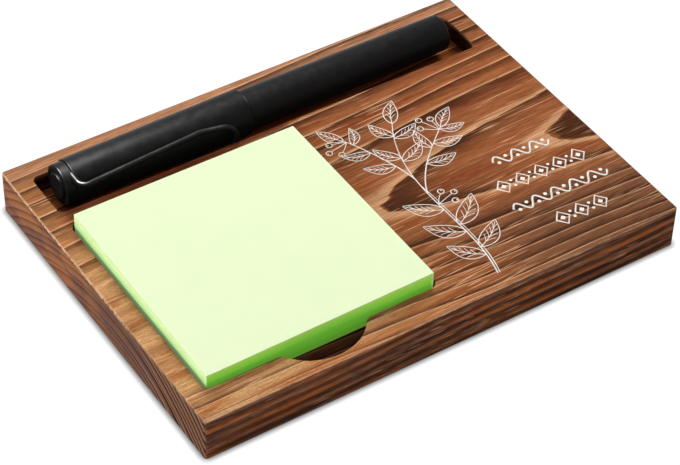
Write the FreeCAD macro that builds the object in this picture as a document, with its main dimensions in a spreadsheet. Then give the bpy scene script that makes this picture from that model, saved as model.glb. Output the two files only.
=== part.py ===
import FreeCAD, Part
import math
import os
import re
import Sketcher

# A desk block for a pad of square notes and a pen, in millimetres. The origin is the middle of
# the block's underside, +X runs along the long front edge to the right, +Y to the back, +Z up.
# The pen lies along X in the slot at the back, with its cap to the left.

# ---------------------------------------------------------------------------------------------
# Driving sizes. Each is one cell of the document's spreadsheet, under its own alias.

SIZES = {
    # the wooden block
    "block_thickness": 15.0,
    "block_corner_radius": 1.0,
    "block_edge_round": 0.4,
    "pocket_rim_round": 0.3,
    "left_margin": 6.55,
    "right_margin": 7.15,
    "front_margin": 10.8,
    "back_margin": 7.3,
    "land_width": 6.0,
    "recess_depth": 4.8,
    "recess_corner_radius": 2.5,
    "scoop_radius": 16.7,
    "scoop_reach": 8.1,
    "scoop_shoulder_radius": 3.0,
    "slot_depth": 6.5,
    "slot_corner_radius": 2.0,
    # the pad of notes
    "note_side": 76.2,
    "note_clearance": 1.1,
    "note_corner_radius": 0.4,
    "backing_thickness": 0.15,
    "stack_thickness": 9.15,
    "note_thickness": 0.1,
    # how the pen lies in its slot
    "pen_left_gap": 4.4,
    "pen_right_gap": 6.7,
    "pen_back_gap": 0.25,
    "pen_floor_gap": 0.1,
    "clip_wall_gap": 0.05,
    # the collar and the plug at the cap's closed end
    "plug_rise": 0.5,
    "plug_head_radius": 4.2,
    "plug_head_length": 2.6,
    "plug_head_round": 0.3,
    "plug_stud_radius": 2.5,
    "plug_stud_length": 4.2,
    "plug_dimple_radius": 0.9,
    "plug_dimple_depth": 0.4,
    "plug_fit": 0.05,
    "collar_length": 3.3,
    "collar_radius": 6.7,
    "collar_edge_round": 0.5,
    "collar_face_radius": 5.5,
    "collar_face_sink": 0.25,
    "hub_radius": 5.8,
    "groove_width": 0.2,
    # the cap
    "cap_start_radius": 7.15,
    "cap_lip_radius": 7.5,
    "cap_lip_round": 0.3,
    "cap_end_wall": 3.5,
    "cap_bore_radius": 6.3,
    "sleeve_fit": 0.03,
    "sleeve_front_gap": 5.0,
    "sleeve_length": 23.5,
    "sleeve_end_wall": 1.0,
    "sleeve_nib_room": 1.25,
    "sleeve_grip_fit": 0.08,
    # the wire clip
    "clip_wire_radius": 0.9,
    "clip_wire_fit": 0.05,
    "clip_leg_height": 5.1,
    "clip_root_reach": 9.45,
    "clip_root_bend": 2.6,
    "clip_touch_run": 42.5,
    "clip_touch_bend": 6.0,
    "clip_touch_gap": 0.05,
    "clip_tip_run": 11.3,
    "clip_tip_reach": 9.4,
    "clip_tip_bend": 4.9,
    # the barrel
    "lip_gap": 0.2,
    "barrel_length": 75.0,
    "barrel_front_radius": 6.55,
    "barrel_end_radius": 6.0,
    "barrel_end_round": 1.0,
    "barrel_bore_radius": 4.6,
    "barrel_end_wall": 2.5,
    "neck_radius": 5.95,
    "neck_length": 5.96,
    "socket_length": 10.6,
    "tenon_fit": 0.05,
    "boss_radius": 2.2,
    "boss_length": 9.8,
    # the grip section and its seal
    "seal_wire_radius": 0.5,
    "seal_fit": 0.02,
    "flange_radius": 5.9,
    "flange_length": 2.0,
    "tenon_radius": 4.9,
    "tenon_length": 9.7,
    "grip_back_radius": 5.3,
    "grip_length": 32.3,
    "grip_front_radius": 4.3,
    "nose_length": 7.0,
    "nose_radius": 1.9,
    "nose_wall": 2.0,
    # the refill
    "refill_radius": 3.0,
    "refill_wall": 0.8,
    "refill_fit": 0.05,
    "refill_end_gap": 0.1,
    "refill_plug_insert": 2.0,
    "refill_plug_head": 1.9,
    "tip_flange_length": 1.5,
    "tip_insert_length": 4.0,
    "tip_cone_length": 8.5,
    "tip_cone_radius": 2.6,
    "tip_fit": 0.1,
    "needle_radius": 1.15,
    "needle_length": 4.25,
    "needle_taper_length": 1.2,
    "needle_rim_radius": 0.42,
    "ink_channel_radius": 0.5,
    "ink_feed_radius": 0.2,
    "ball_radius": 0.35,
    "ball_fit": 0.02,
    "ball_rise": 0.15,
}

# Sizes that follow from the driving ones. Stations run along the pen from the plug's face.

DERIVED = {
    "recess_side": "note_side + 2 * note_clearance",
    "recess_floor": "block_thickness - recess_depth",
    "recess_right": "left_margin + recess_side",
    "recess_back": "front_margin + recess_side",
    "scoop_middle": "left_margin + recess_side / 2",
    "slot_front": "recess_back + land_width",
    "slot_width": "pen_back_gap + cap_lip_radius + clip_root_reach + clip_wire_radius + clip_wall_gap",
    "slot_back": "slot_front + slot_width",
    "slot_length": "pen_left_gap + pen_end + pen_right_gap",
    "slot_right": "left_margin + slot_length",
    "slot_floor": "block_thickness - slot_depth",
    "block_length": "slot_right + right_margin",
    "block_depth": "slot_back + back_margin",
    "pen_left": "left_margin + pen_left_gap - block_length / 2",
    "pen_line": "slot_back - pen_back_gap - cap_lip_radius - block_depth / 2",
    "pen_tilt": "atan((cap_lip_radius - cap_start_radius) / (cap_lip - cap_start))",
    "pen_rest": "cap_lip_radius * cos(pen_tilt) - cap_lip * sin(pen_tilt)",
    "pen_height": "slot_floor + pen_floor_gap + pen_rest",
    "collar_back": "plug_rise + collar_length",
    "cap_start": "collar_back + groove_width",
    "cap_bore_end": "cap_start + cap_end_wall",
    "plug_hole_radius": "plug_stud_radius + plug_fit",
    "clip_root": "collar_back + groove_width / 2",
    "clip_notch_radius": "clip_wire_radius + clip_wire_fit",
    "clip_touch": "clip_root + clip_touch_run",
    "clip_touch_distance": "cap_lip_radius + clip_wire_radius + clip_touch_gap",
    "clip_touch_reach": "sqrt(clip_touch_distance ^ 2 - clip_leg_height ^ 2)",
    "clip_tip": "clip_touch + clip_tip_run",
    "sleeve_start": "cap_bore_end + sleeve_front_gap",
    "sleeve_bottom": "sleeve_start + sleeve_end_wall",
    "sleeve_mouth": "sleeve_start + sleeve_length",
    "needle_rim": "sleeve_bottom + sleeve_nib_room",
    "needle_root": "needle_rim + needle_length",
    "nose": "needle_root - nose_wall",
    "grip_front": "nose + nose_length",
    "flange_front": "grip_front + grip_length",
    "flange_back": "flange_front + flange_length",
    "tenon_end": "flange_back + tenon_length",
    "barrel_mouth": "flange_back + 2 * (seal_wire_radius + seal_fit)",
    "shoulder": "barrel_mouth + neck_length",
    "cap_lip": "shoulder - lip_gap",
    "pen_end": "shoulder + barrel_length",
    "socket_radius": "tenon_radius + tenon_fit",
    "bore_end": "pen_end - barrel_end_wall",
    "seal_ring_radius": "tenon_radius + seal_fit + seal_wire_radius",
    "refill_bore_radius": "refill_radius + refill_fit",
    "refill_inner_radius": "refill_radius - refill_wall",
    "insert_radius": "refill_inner_radius - ball_fit",
    "tip_shoulder": "needle_root + tip_cone_length",
    "refill_start": "tip_shoulder + tip_flange_length",
    "boss_front": "bore_end - boss_length",
    "refill_plug_end": "boss_front - refill_end_gap",
    "refill_end": "refill_plug_end - refill_plug_head",
    "ball_middle": "needle_rim + ball_radius - ball_rise",
    "ball_seat_radius": "ball_radius + ball_fit",
    "ball_lip_radius": "sqrt(ball_radius ^ 2 - (ball_radius - ball_rise) ^ 2) + ball_fit",
    "grip_slope": "(grip_back_radius - grip_front_radius) / grip_length",
    "sleeve_bore_radius": "grip_front_radius + grip_slope * (sleeve_mouth - grip_front) + sleeve_grip_fit",
}

doc = FreeCAD.newDocument("note_and_pen_block")
sheet = doc.addObject("Spreadsheet::Sheet", "sizes")
for row, (alias, size) in enumerate(SIZES.items(), start=1):
    sheet.set(f"A{row}", alias.replace("_", " "))
    sheet.set(f"B{row}", str(size))
    sheet.setAlias(f"B{row}", alias)
doc.recompute()


# ---------------------------------------------------------------------------------------------
# Helpers


def formula(text):
    """Write out the derived names in a formula, and point its sizes at the spreadsheet."""

    def written_out(word):
        name = word.group(0)
        if name in DERIVED:
            return f"({formula(DERIVED[name])})"
        if name in SIZES:
            return f"sizes.{name}"
        return name

    return re.sub(r"[a-z_]+", written_out, text)


def number(text):
    """The present value of a formula, in millimetres."""
    return float(sheet.evalExpression(formula(text)))


def new_body(name):
    body = doc.addObject("PartDesign::Body", name)
    body.Label = name
    return body


def seat(piece, x, y, z):
    """Put a finished piece at its place in the block's frame."""
    piece.setExpression("Placement.Base.x", formula(x))
    piece.setExpression("Placement.Base.y", formula(y))
    piece.setExpression("Placement.Base.z", formula(z))


def new_sketch(body, name, role, rise="0"):
    """A sketch on one of the body's own origin planes, raised along the plane's normal."""
    plane = next(item for item in body.Origin.OriginFeatures if item.Role == role)
    sketch = body.newObject("Sketcher::SketchObject", name)
    sketch.AttachmentSupport = [(plane, "")]
    sketch.MapMode = "FlatFace"
    sketch.setExpression("AttachmentOffset.Base.z", formula(rise))
    return sketch


def pin(sketch, item, point, x, y):
    """Tie one point of a sketch to the formulas of its place."""
    for kind, axis, text in (("DistanceX", -2, x), ("DistanceY", -1, y)):
        value = number(text)
        if value == 0:
            sketch.addConstraint(Sketcher.Constraint("PointOnObject", item, point, axis))
        else:
            index = sketch.addConstraint(Sketcher.Constraint(kind, -1, 1, item, point, value))
            sketch.setExpression(f"Constraints[{index}]", formula(text))


def draw_polygon(sketch, corners):
    """Closed straight outline through corners, each a pair of formulas."""
    places = [FreeCAD.Vector(number(x), number(y), 0) for x, y in corners]
    for index, place in enumerate(places):
        sketch.addGeometry(Part.LineSegment(place, places[(index + 1) % len(places)]), False)
    for index, (x, y) in enumerate(corners):
        before = (index - 1) % len(corners)
        sketch.addConstraint(Sketcher.Constraint("Coincident", before, 2, index, 1))
        pin(sketch, index, 1, x, y)


def rectangle_corners(left, front, right, back):
    return [(left, front), (right, front), (right, back), (left, back)]


def draw_rectangle(sketch, left, front, right, back):
    draw_polygon(sketch, rectangle_corners(left, front, right, back))


def draw_circle(sketch, x, y, radius):
    middle = FreeCAD.Vector(number(x), number(y), 0)
    upright = FreeCAD.Vector(0, 0, 1)
    item = sketch.addGeometry(Part.Circle(middle, upright, number(radius)), False)
    pin(sketch, item, 3, x, y)
    index = sketch.addConstraint(Sketcher.Constraint("Radius", item, number(radius)))
    sketch.setExpression(f"Constraints[{index}]", formula(radius))


def pad(body, sketch, name, length):
    feature = body.newObject("PartDesign::Pad", name)
    feature.Profile = sketch
    feature.setExpression("Length", formula(length))
    doc.recompute()
    return feature


def pocket(body, sketch, name, depth, backwards=False):
    """Cut a sketch into the body, and make sure that the cut took something away."""
    volume_before = body.Shape.Volume
    feature = body.newObject("PartDesign::Pocket", name)
    feature.Profile = sketch
    feature.Reversed = backwards
    feature.setExpression("Length", formula(depth))
    doc.recompute()
    if not feature.Shape.Volume < volume_before:
        raise RuntimeError(f"{name} cuts nothing")
    return feature


def turned(name, half_profile):
    """A piece turned about the pen's axis from (station, radius) corners."""
    body = new_body(name)
    sketch = new_sketch(body, name + "_profile", "XY_Plane")
    draw_polygon(sketch, half_profile)
    feature = body.newObject("PartDesign::Revolution", name + "_turning")
    feature.Profile = sketch
    feature.ReferenceAxis = (sketch, ["H_Axis"])
    feature.Angle = 360
    doc.recompute()
    return body


def fillet(body, name, radius, wanted):
    """Round every edge of the body's last feature for which wanted(edge) is true."""
    base = body.Tip
    edges = [f"Edge{i}" for i, edge in enumerate(base.Shape.Edges, start=1) if wanted(edge)]
    if not edges:
        raise RuntimeError(f"{name} finds no edge")
    feature = body.newObject("PartDesign::Fillet", name)
    feature.Base = (base, edges)
    feature.setExpression("Radius", formula(radius))
    doc.recompute()
    return feature


NEAR = 0.001


def upright_at(places):
    """Picks straight vertical edges that stand at one of the (x, y) places."""
    targets = [(number(x), number(y)) for x, y in places]

    def wanted(edge):
        low, high = edge.Vertexes[0].Point, edge.Vertexes[-1].Point
        if math.hypot(low.x - high.x, low.y - high.y) > NEAR or edge.Length < NEAR:
            return False
        return any(math.hypot(low.x - x, low.y - y) < NEAR for x, y in targets)

    return wanted


def ring_at(station, radius):
    """Picks the circle of a turned piece at this station with this radius."""
    place, size = number(station), number(radius)

    def wanted(edge):
        if not isinstance(edge.Curve, Part.Circle):
            return False
        return abs(edge.Curve.Center.x - place) < NEAR and abs(edge.Curve.Radius - size) < NEAR

    return wanted


# ---------------------------------------------------------------------------------------------
# The wooden block: one board with a square recess, a thumb scoop and a pen slot cut from above.


def make_wood_block():
    body = new_body("wood_block")
    outline = new_sketch(body, "block_outline", "XY_Plane")
    draw_rectangle(outline, "0", "0", "block_length", "block_depth")
    pad(body, outline, "board", "block_thickness")
    corners = rectangle_corners("0", "0", "block_length", "block_depth")
    fillet(body, "board_corners", "block_corner_radius", upright_at(corners))

    recess = ("left_margin", "front_margin", "recess_right", "recess_back")
    sketch = new_sketch(body, "recess_outline", "XY_Plane", "block_thickness")
    draw_rectangle(sketch, *recess)
    pocket(body, sketch, "note_recess", "recess_depth")
    fillet(body, "recess_corners", "recess_corner_radius", upright_at(rectangle_corners(*recess)))

    scoop_centre = "front_margin + scoop_radius - scoop_reach"
    sketch = new_sketch(body, "scoop_outline", "XY_Plane", "block_thickness")
    draw_circle(sketch, "scoop_middle", scoop_centre, "scoop_radius")
    pocket(body, sketch, "thumb_scoop", "recess_depth")
    half_mouth = "sqrt(scoop_radius ^ 2 - (scoop_radius - scoop_reach) ^ 2)"
    shoulders = [(f"scoop_middle {side} {half_mouth}", "front_margin") for side in "-+"]
    fillet(body, "scoop_shoulders", "scoop_shoulder_radius", upright_at(shoulders))

    slot = ("left_margin", "slot_front", "slot_right", "slot_back")
    sketch = new_sketch(body, "slot_outline", "XY_Plane", "block_thickness")
    draw_rectangle(sketch, *slot)
    pocket(body, sketch, "pen_slot", "slot_depth")
    fillet(body, "slot_corners", "slot_corner_radius", upright_at(rectangle_corners(*slot)))

    thickness = number("block_thickness")
    margin = min(number("left_margin"), number("front_margin"), number("back_margin")) / 2
    length, depth = number("block_length"), number("block_depth")

    def lies_level_at(edge, level):
        return abs(edge.BoundBox.ZMin - level) < NEAR and abs(edge.BoundBox.ZMax - level) < NEAR

    def is_on_outline(edge):
        middle = edge.valueAt((edge.FirstParameter + edge.LastParameter) / 2)
        across = min(middle.x, length - middle.x)
        along = min(middle.y, depth - middle.y)
        return min(across, along) < margin

    def outer(edge):
        level = lies_level_at(edge, 0) or lies_level_at(edge, thickness)
        return level and is_on_outline(edge)

    def inner(edge):
        return lies_level_at(edge, thickness) and not is_on_outline(edge)

    fillet(body, "board_edges", "block_edge_round", outer)
    fillet(body, "pocket_rims", "pocket_rim_round", inner)
    seat(body, "-block_length / 2", "-block_depth / 2", "0")
    return body


# ---------------------------------------------------------------------------------------------
# The pad: a backing sheet, the stack of notes glued along its back edge, and the top note.


def make_sheet_piece(name, thickness, height):
    """A square layer of the pad that starts at this height above the recess floor."""
    body = new_body(name)
    sketch = new_sketch(body, name + "_outline", "XY_Plane")
    draw_rectangle(sketch, "0", "0", "note_side", "note_side")
    pad(body, sketch, name + "_layer", thickness)
    corners = rectangle_corners("0", "0", "note_side", "note_side")
    fillet(body, name + "_corners", "note_corner_radius", upright_at(corners))
    left = "left_margin + note_clearance - block_length / 2"
    front = "front_margin + note_clearance - block_depth / 2"
    seat(body, left, front, f"recess_floor + {height}")
    return body


# ---------------------------------------------------------------------------------------------
# The pen, piece by piece from the cap's closed end


def lay_in_slot(piece):
    """Lay a pen piece, drawn about its own axis, in the slot.

    The pen rests on the side of its cap, which widens towards the lip, so the barrel tips up.
    """
    barrel_up = FreeCAD.Rotation(FreeCAD.Vector(0, -1, 0), number("pen_tilt"))
    piece.Placement = FreeCAD.Placement(FreeCAD.Vector(), barrel_up)
    piece.setExpression("Placement.Rotation.Angle", formula("pen_tilt"))
    seat(piece, "pen_left", "pen_line", "pen_height")
    return piece


def cut_clip_notches(body):
    """The two half-round notches that hold the roots of the clip's legs."""
    for side, rise in (("upper", "clip_leg_height"), ("lower", "-clip_leg_height")):
        name = f"{body.Name}_{side}_notch"
        sketch = new_sketch(body, name + "_outline", "XZ_Plane")
        draw_circle(sketch, "clip_root", rise, "clip_notch_radius")
        pocket(body, sketch, name, "cap_lip_radius", backwards=True)


def make_cap_collar():
    face_floor = "plug_rise + collar_face_sink"
    body = turned("cap_collar", [
        ("plug_rise", "collar_radius"),
        ("plug_rise", "collar_face_radius"),
        (face_floor, "collar_face_radius"),
        (face_floor, "plug_head_radius + plug_fit"),
        ("plug_head_length", "plug_head_radius + plug_fit"),
        ("plug_head_length", "plug_hole_radius"),
        ("cap_start", "plug_hole_radius"),
        ("cap_start", "hub_radius"),
        ("collar_back", "hub_radius"),
        ("collar_back", "collar_radius"),
    ])
    fillet(body, "collar_edge", "collar_edge_round", ring_at("plug_rise", "collar_radius"))
    cut_clip_notches(body)
    return lay_in_slot(body)


def make_cap_end_plug():
    stud_end = "plug_head_length + plug_stud_length"
    body = turned("cap_end_plug", [
        ("plug_dimple_depth", "0"),
        ("0", "plug_dimple_radius"),
        ("0", "plug_head_radius"),
        ("plug_head_length", "plug_head_radius"),
        ("plug_head_length", "plug_stud_radius"),
        (stud_end, "plug_stud_radius"),
        (stud_end, "0"),
    ])
    fillet(body, "plug_edge", "plug_head_round", ring_at("0", "plug_head_radius"))
    return lay_in_slot(body)


def make_cap_tube():
    body = turned("cap_tube", [
        ("cap_start", "plug_hole_radius"),
        ("cap_start", "cap_start_radius"),
        ("cap_lip", "cap_lip_radius"),
        ("cap_lip", "cap_bore_radius"),
        ("cap_bore_end", "cap_bore_radius"),
        ("cap_bore_end", "plug_hole_radius"),
    ])
    fillet(body, "cap_lip_edge", "cap_lip_round", ring_at("cap_lip", "cap_lip_radius"))
    fillet(body, "cap_start_edge", "cap_lip_round", ring_at("cap_start", "cap_start_radius"))
    cut_clip_notches(body)
    return lay_in_slot(body)


def make_cap_inner_sleeve():
    return lay_in_slot(turned("cap_inner_sleeve", [
        ("sleeve_start", "0"),
        ("sleeve_start", "cap_bore_radius - sleeve_fit"),
        ("sleeve_mouth", "cap_bore_radius - sleeve_fit"),
        ("sleeve_mouth", "sleeve_bore_radius"),
        ("sleeve_bottom", "sleeve_bore_radius"),
        ("sleeve_bottom", "0"),
    ]))


def rounded_path(corners, radii):
    """A wire of straight runs through the corners, with a tangent arc at each inner one."""
    edges = []
    start = corners[0]
    for before, corner, after, radius in zip(corners, corners[1:], corners[2:], radii):
        back = (before - corner).normalize()
        ahead = (after - corner).normalize()
        half_angle = back.getAngle(ahead) / 2
        trim = radius / math.tan(half_angle)
        inward = (back + ahead).normalize()
        middle = corner + inward * (radius / math.sin(half_angle) - radius)
        first, last = corner + back * trim, corner + ahead * trim
        edges.append(Part.LineSegment(start, first).toShape())
        edges.append(Part.Arc(first, middle, last).toShape())
        start = last
    edges.append(Part.LineSegment(start, corners[-1]).toShape())
    return Part.Wire(edges)


def make_pocket_clip():
    """One bent wire: two legs side by side that touch the cap, rise, and meet in a U-turn."""
    root, touch, tip = number("clip_root"), number("clip_touch"), number("clip_tip")
    height = number("clip_leg_height")
    leg = [
        (root, 0),
        (root, number("clip_root_reach")),
        (touch, number("clip_touch_reach")),
        (tip, number("clip_tip_reach")),
    ]
    upper = [FreeCAD.Vector(station, -reach, height) for station, reach in leg]
    lower = [FreeCAD.Vector(station, -reach, -height) for station, reach in reversed(leg)]
    bends = [number("clip_root_bend"), number("clip_touch_bend"), number("clip_tip_bend")]
    path = rounded_path(upper + lower, bends + bends[::-1])
    radius = number("clip_wire_radius")
    section = Part.Wire([Part.makeCircle(radius, upper[0], FreeCAD.Vector(0, -1, 0))])
    wire = path.makePipeShell([section], True, True)
    expected = math.pi * radius ** 2 * path.Length
    if abs(wire.Volume / expected - 1) > 0.01:
        raise RuntimeError("the clip's wire does not have its section's volume")
    piece = doc.addObject("Part::Feature", "pocket_clip")
    piece.Label = "pocket_clip"
    piece.Shape = wire
    return lay_in_slot(piece)


def make_barrel_tube():
    socket_end = "barrel_mouth + socket_length"
    body = turned("barrel_tube", [
        ("barrel_mouth", "socket_radius"),
        ("barrel_mouth", "neck_radius"),
        ("shoulder", "neck_radius"),
        ("shoulder", "barrel_front_radius"),
        ("pen_end", "barrel_end_radius"),
        ("pen_end", "0"),
        ("boss_front", "0"),
        ("boss_front", "boss_radius"),
        ("bore_end", "boss_radius"),
        ("bore_end", "barrel_bore_radius"),
        (socket_end, "barrel_bore_radius"),
        (socket_end, "socket_radius"),
    ])
    fillet(body, "barrel_end", "barrel_end_round", ring_at("pen_end", "barrel_end_radius"))
    shoulder_edge = ring_at("shoulder", "barrel_front_radius")
    fillet(body, "barrel_shoulder", "cap_lip_round", shoulder_edge)
    return lay_in_slot(body)


def make_grip_section():
    return lay_in_slot(turned("grip_section", [
        ("nose", "needle_radius + tip_fit"),
        ("nose", "nose_radius"),
        ("grip_front", "grip_front_radius"),
        ("flange_front", "grip_back_radius"),
        ("flange_front", "flange_radius"),
        ("flange_back", "flange_radius"),
        ("flange_back", "tenon_radius"),
        ("tenon_end", "tenon_radius"),
        ("tenon_end", "refill_bore_radius"),
        ("tip_shoulder - tip_fit", "refill_bore_radius"),
        ("tip_shoulder - tip_fit", "tip_cone_radius + tip_fit"),
        ("needle_root", "needle_radius + tip_fit"),
    ]))


def make_section_seal_ring():
    body = new_body("section_seal_ring")
    sketch = new_sketch(body, "seal_section", "XY_Plane")
    draw_circle(sketch, "barrel_mouth - seal_fit - seal_wire_radius", "seal_ring_radius",
                "seal_wire_radius")
    feature = body.newObject("PartDesign::Revolution", "seal_turning")
    feature.Profile = sketch
    feature.ReferenceAxis = (sketch, ["H_Axis"])
    feature.Angle = 360
    doc.recompute()
    return lay_in_slot(body)


def make_refill_tube():
    return lay_in_slot(turned("refill_tube", [
        ("refill_start", "refill_inner_radius"),
        ("refill_start", "refill_radius"),
        ("refill_end", "refill_radius"),
        ("refill_end", "refill_inner_radius"),
    ]))


def make_refill_tip():
    """The metal tip: a needle that holds the ball, a cone, a flange and an insert."""
    seat_end = "ball_middle + ball_seat_radius"
    taper_end = "needle_rim + needle_taper_length"
    insert_end = "refill_start + tip_insert_length"
    return lay_in_slot(turned("refill_tip", [
        ("needle_rim", "ball_lip_radius"),
        ("needle_rim", "needle_rim_radius"),
        (taper_end, "needle_radius"),
        ("needle_root", "needle_radius"),
        ("tip_shoulder", "tip_cone_radius"),
        ("tip_shoulder", "refill_radius"),
        ("refill_start", "refill_radius"),
        ("refill_start", "insert_radius"),
        (insert_end, "insert_radius"),
        (insert_end, "ink_channel_radius"),
        ("needle_root", "ink_channel_radius"),
        ("needle_root", "ink_feed_radius"),
        (seat_end, "ink_feed_radius"),
        (seat_end, "ball_seat_radius"),
        ("ball_middle", "ball_seat_radius"),
    ]))


def make_writing_ball():
    ball = doc.addObject("Part::Sphere", "writing_ball")
    ball.Label = "writing_ball"
    ball.setExpression("Radius", formula("ball_radius"))
    height = "pen_height + ball_middle * sin(pen_tilt)"
    seat(ball, "pen_left + ball_middle * cos(pen_tilt)", "pen_line", height)
    return ball


def make_refill_end_plug():
    insert_start = "refill_end - refill_plug_insert"
    return lay_in_slot(turned("refill_end_plug", [
        (insert_start, "0"),
        (insert_start, "insert_radius"),
        ("refill_end", "insert_radius"),
        ("refill_end", "refill_radius"),
        ("refill_plug_end", "refill_radius"),
        ("refill_plug_end", "0"),
    ]))


pieces = [
    make_wood_block(),
    make_sheet_piece("backing_sheet", "backing_thickness", "0"),
    make_sheet_piece("note_stack", "stack_thickness", "backing_thickness"),
    make_sheet_piece("top_note", "note_thickness", "backing_thickness + stack_thickness"),
    make_cap_collar(),
    make_cap_end_plug(),
    make_cap_tube(),
    make_cap_inner_sleeve(),
    make_pocket_clip(),
    make_barrel_tube(),
    make_grip_section(),
    make_section_seal_ring(),
    make_refill_tube(),
    make_refill_tip(),
    make_writing_ball(),
    make_refill_end_plug(),
]
doc.recompute()

# ---------------------------------------------------------------------------------------------
# Check every object, then write one STEP file for each piece.

for item in doc.Objects:
    if "Invalid" in item.State or "Error" in item.State:
        raise RuntimeError(f"{item.Label} failed: {item.State}")
for piece in pieces:
    if piece.Shape.isNull() or not piece.Shape.isValid():
        raise RuntimeError(f"{piece.Label} has no valid shape")

os.makedirs("parts", exist_ok=True)
for piece in pieces:
    piece.Shape.exportStep(f"parts/{piece.Label}.step")
    box = piece.Shape.BoundBox
    lows = f"{box.XMin:8.2f} {box.YMin:8.2f} {box.ZMin:8.2f}"
    highs = f"{box.XMax:8.2f} {box.YMax:8.2f} {box.ZMax:8.2f}"
    print(f"{piece.Label:18s} {len(piece.Shape.Solids)} solid {piece.Shape.Volume:10.1f} mm3 {lows} {highs}")
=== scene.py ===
# %% [markdown]
# # A wooden block for notes and a pen
# The real object is one board of flamed and brushed softwood with three hollows routed into its
# top: a square recess for a pad, a thumb scoop in front of it and a long slot for a pen. The
# fixed frame brings every solid at its true size. This lesson dresses them: wood that is one
# block of growth rings, a pad of separate sheets, a satin black pen, and a white print.

# %% Load the frame
import math
import random
from types import SimpleNamespace

import bmesh
import bpy
from mathutils import Matrix, Vector


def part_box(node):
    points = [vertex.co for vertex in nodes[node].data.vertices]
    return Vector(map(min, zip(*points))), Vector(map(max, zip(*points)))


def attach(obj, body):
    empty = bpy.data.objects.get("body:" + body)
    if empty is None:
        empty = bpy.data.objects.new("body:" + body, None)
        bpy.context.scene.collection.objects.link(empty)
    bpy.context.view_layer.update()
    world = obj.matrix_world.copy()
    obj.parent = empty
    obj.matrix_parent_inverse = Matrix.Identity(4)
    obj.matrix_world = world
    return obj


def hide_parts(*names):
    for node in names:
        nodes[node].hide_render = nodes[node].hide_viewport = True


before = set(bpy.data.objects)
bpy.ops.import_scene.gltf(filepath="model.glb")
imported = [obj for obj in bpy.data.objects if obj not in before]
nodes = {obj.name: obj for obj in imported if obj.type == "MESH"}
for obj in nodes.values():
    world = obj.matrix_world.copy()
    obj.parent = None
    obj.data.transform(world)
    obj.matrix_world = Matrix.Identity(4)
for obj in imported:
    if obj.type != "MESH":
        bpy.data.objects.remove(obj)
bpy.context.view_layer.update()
MM = 0.001

# %% [markdown]
# ## Camera
# A small thing is best looked at from far away with a long lens, so that its edges stay nearly
# parallel. The camera's place and its three turns are enough to say where it looks: first it
# rolls about its own axis, then it is tipped up from straight down, then it is turned about the
# upright axis.

# %% Camera
CAMERA_PLACE = Vector((-303.01, -448.25, 504.52)) * MM
CAMERA_TURN = math.radians(-34.1515)
CAMERA_TIP = math.radians(90 - 43.138)
CAMERA_ROLL = math.radians(1.6559)
LENS = 128.17
SENSOR_WIDTH = 36

camera_data = bpy.data.cameras.new("camera")
camera_data.lens = LENS
camera_data.sensor_width = SENSOR_WIDTH
camera = bpy.data.objects.new("camera", camera_data)
bpy.context.scene.collection.objects.link(camera)
aim = Matrix.Rotation(CAMERA_TURN, 4, "Z") @ Matrix.Rotation(CAMERA_TIP, 4, "X")
camera.matrix_world = Matrix.Translation(CAMERA_PLACE) @ aim @ Matrix.Rotation(CAMERA_ROLL, 4, "Z")
bpy.context.scene.camera = camera
bpy.context.scene.view_settings.view_transform = "Standard"
print("camera is", round(CAMERA_PLACE.length, 3), "m from the block")

# %% [markdown]
# ## Node helpers
# Every finish below is a small graph of shader nodes. A few helpers keep the graphs readable. The
# first ones give a socket its value or its wire, add a node, and do sums with masks: a mask is a
# number from 0 to 1 that says how much of something shows at a point.

# %% Node helpers
def feed(tree, socket, value):
    """Give an input its constant, or connect it to another node's output."""
    if isinstance(value, bpy.types.NodeSocket):
        tree.links.new(value, socket)
    else:
        socket.default_value = value


def node(tree, kind, inputs=None, output=0, **settings):
    """Add a node with these settings and inputs, and return one of its outputs."""
    made = tree.nodes.new(kind)
    for name, value in settings.items():
        setattr(made, name, value)
    for name, value in (inputs or {}).items():
        feed(tree, made.inputs[name], value)
    return made.outputs[output]


def maths(tree, operation, *values):
    """A sum or another simple operation on these values."""
    return node(tree, "ShaderNodeMath", dict(enumerate(values)), operation=operation)


def product(tree, first, *others):
    """All these values multiplied."""
    for value in others:
        first = maths(tree, "MULTIPLY", first, value)
    return first


def less(tree, value, size=1.0):
    """One less this share of a mask, so that a product with it fades where the mask is strong."""
    return maths(tree, "MULTIPLY_ADD", value, -size, 1.0)


def between(tree, value, low, high, to_low=0.0, to_high=1.0):
    """Map a value smoothly from one range to another, and hold it at the ends."""
    inputs = {0: value, 1: low, 2: high, 3: to_low, 4: to_high}
    return node(tree, "ShaderNodeMapRange", inputs, interpolation_type="SMOOTHSTEP")


def falling(tree, value, low, high, to_low=1.0):
    """The other way round: all of it up to one value, and nothing from another on."""
    return between(tree, value, low, high, to_low, 0.0)


print("node helpers ready")

# %% [markdown]
# ## Pattern and colour helpers
# Wood, paper and plastic are all noise at the right scale. Noise that is stretched along one axis
# makes streaks, so a pattern here is a scale for each axis, a detail and a roughness. A colour is
# written with its usual screen values and turned into the linear ones that a shader takes.

# %% Pattern helpers
def noise(tree, place, scale, detail=2.0, roughness=0.5, output=0):
    """An uneven pattern from 0 to 1, and mostly near the middle."""
    inputs = {"Vector": place, "Scale": scale, "Detail": detail, "Roughness": roughness}
    return node(tree, "ShaderNodeTexNoise", inputs, output)


def scaled(tree, place, x, y, z):
    """The same place on a scale of its own along each axis."""
    return node(tree, "ShaderNodeMapping", {"Vector": place, "Scale": (x, y, z)})


def streaky(tree, place, scales, detail=2.0, roughness=0.5, output=0):
    """Noise with a scale for each axis: it is drawn out along the axis where the scale is small."""
    return noise(tree, scaled(tree, place, *scales), 1.0, detail, roughness, output)


def patch(tree, place, pattern, low, high, to_low=0.0, to_high=1.0):
    """A mask or a tone from a streaky pattern, where its noise lies between two values."""
    return between(tree, streaky(tree, place, *pattern), low, high, to_low, to_high)


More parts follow.
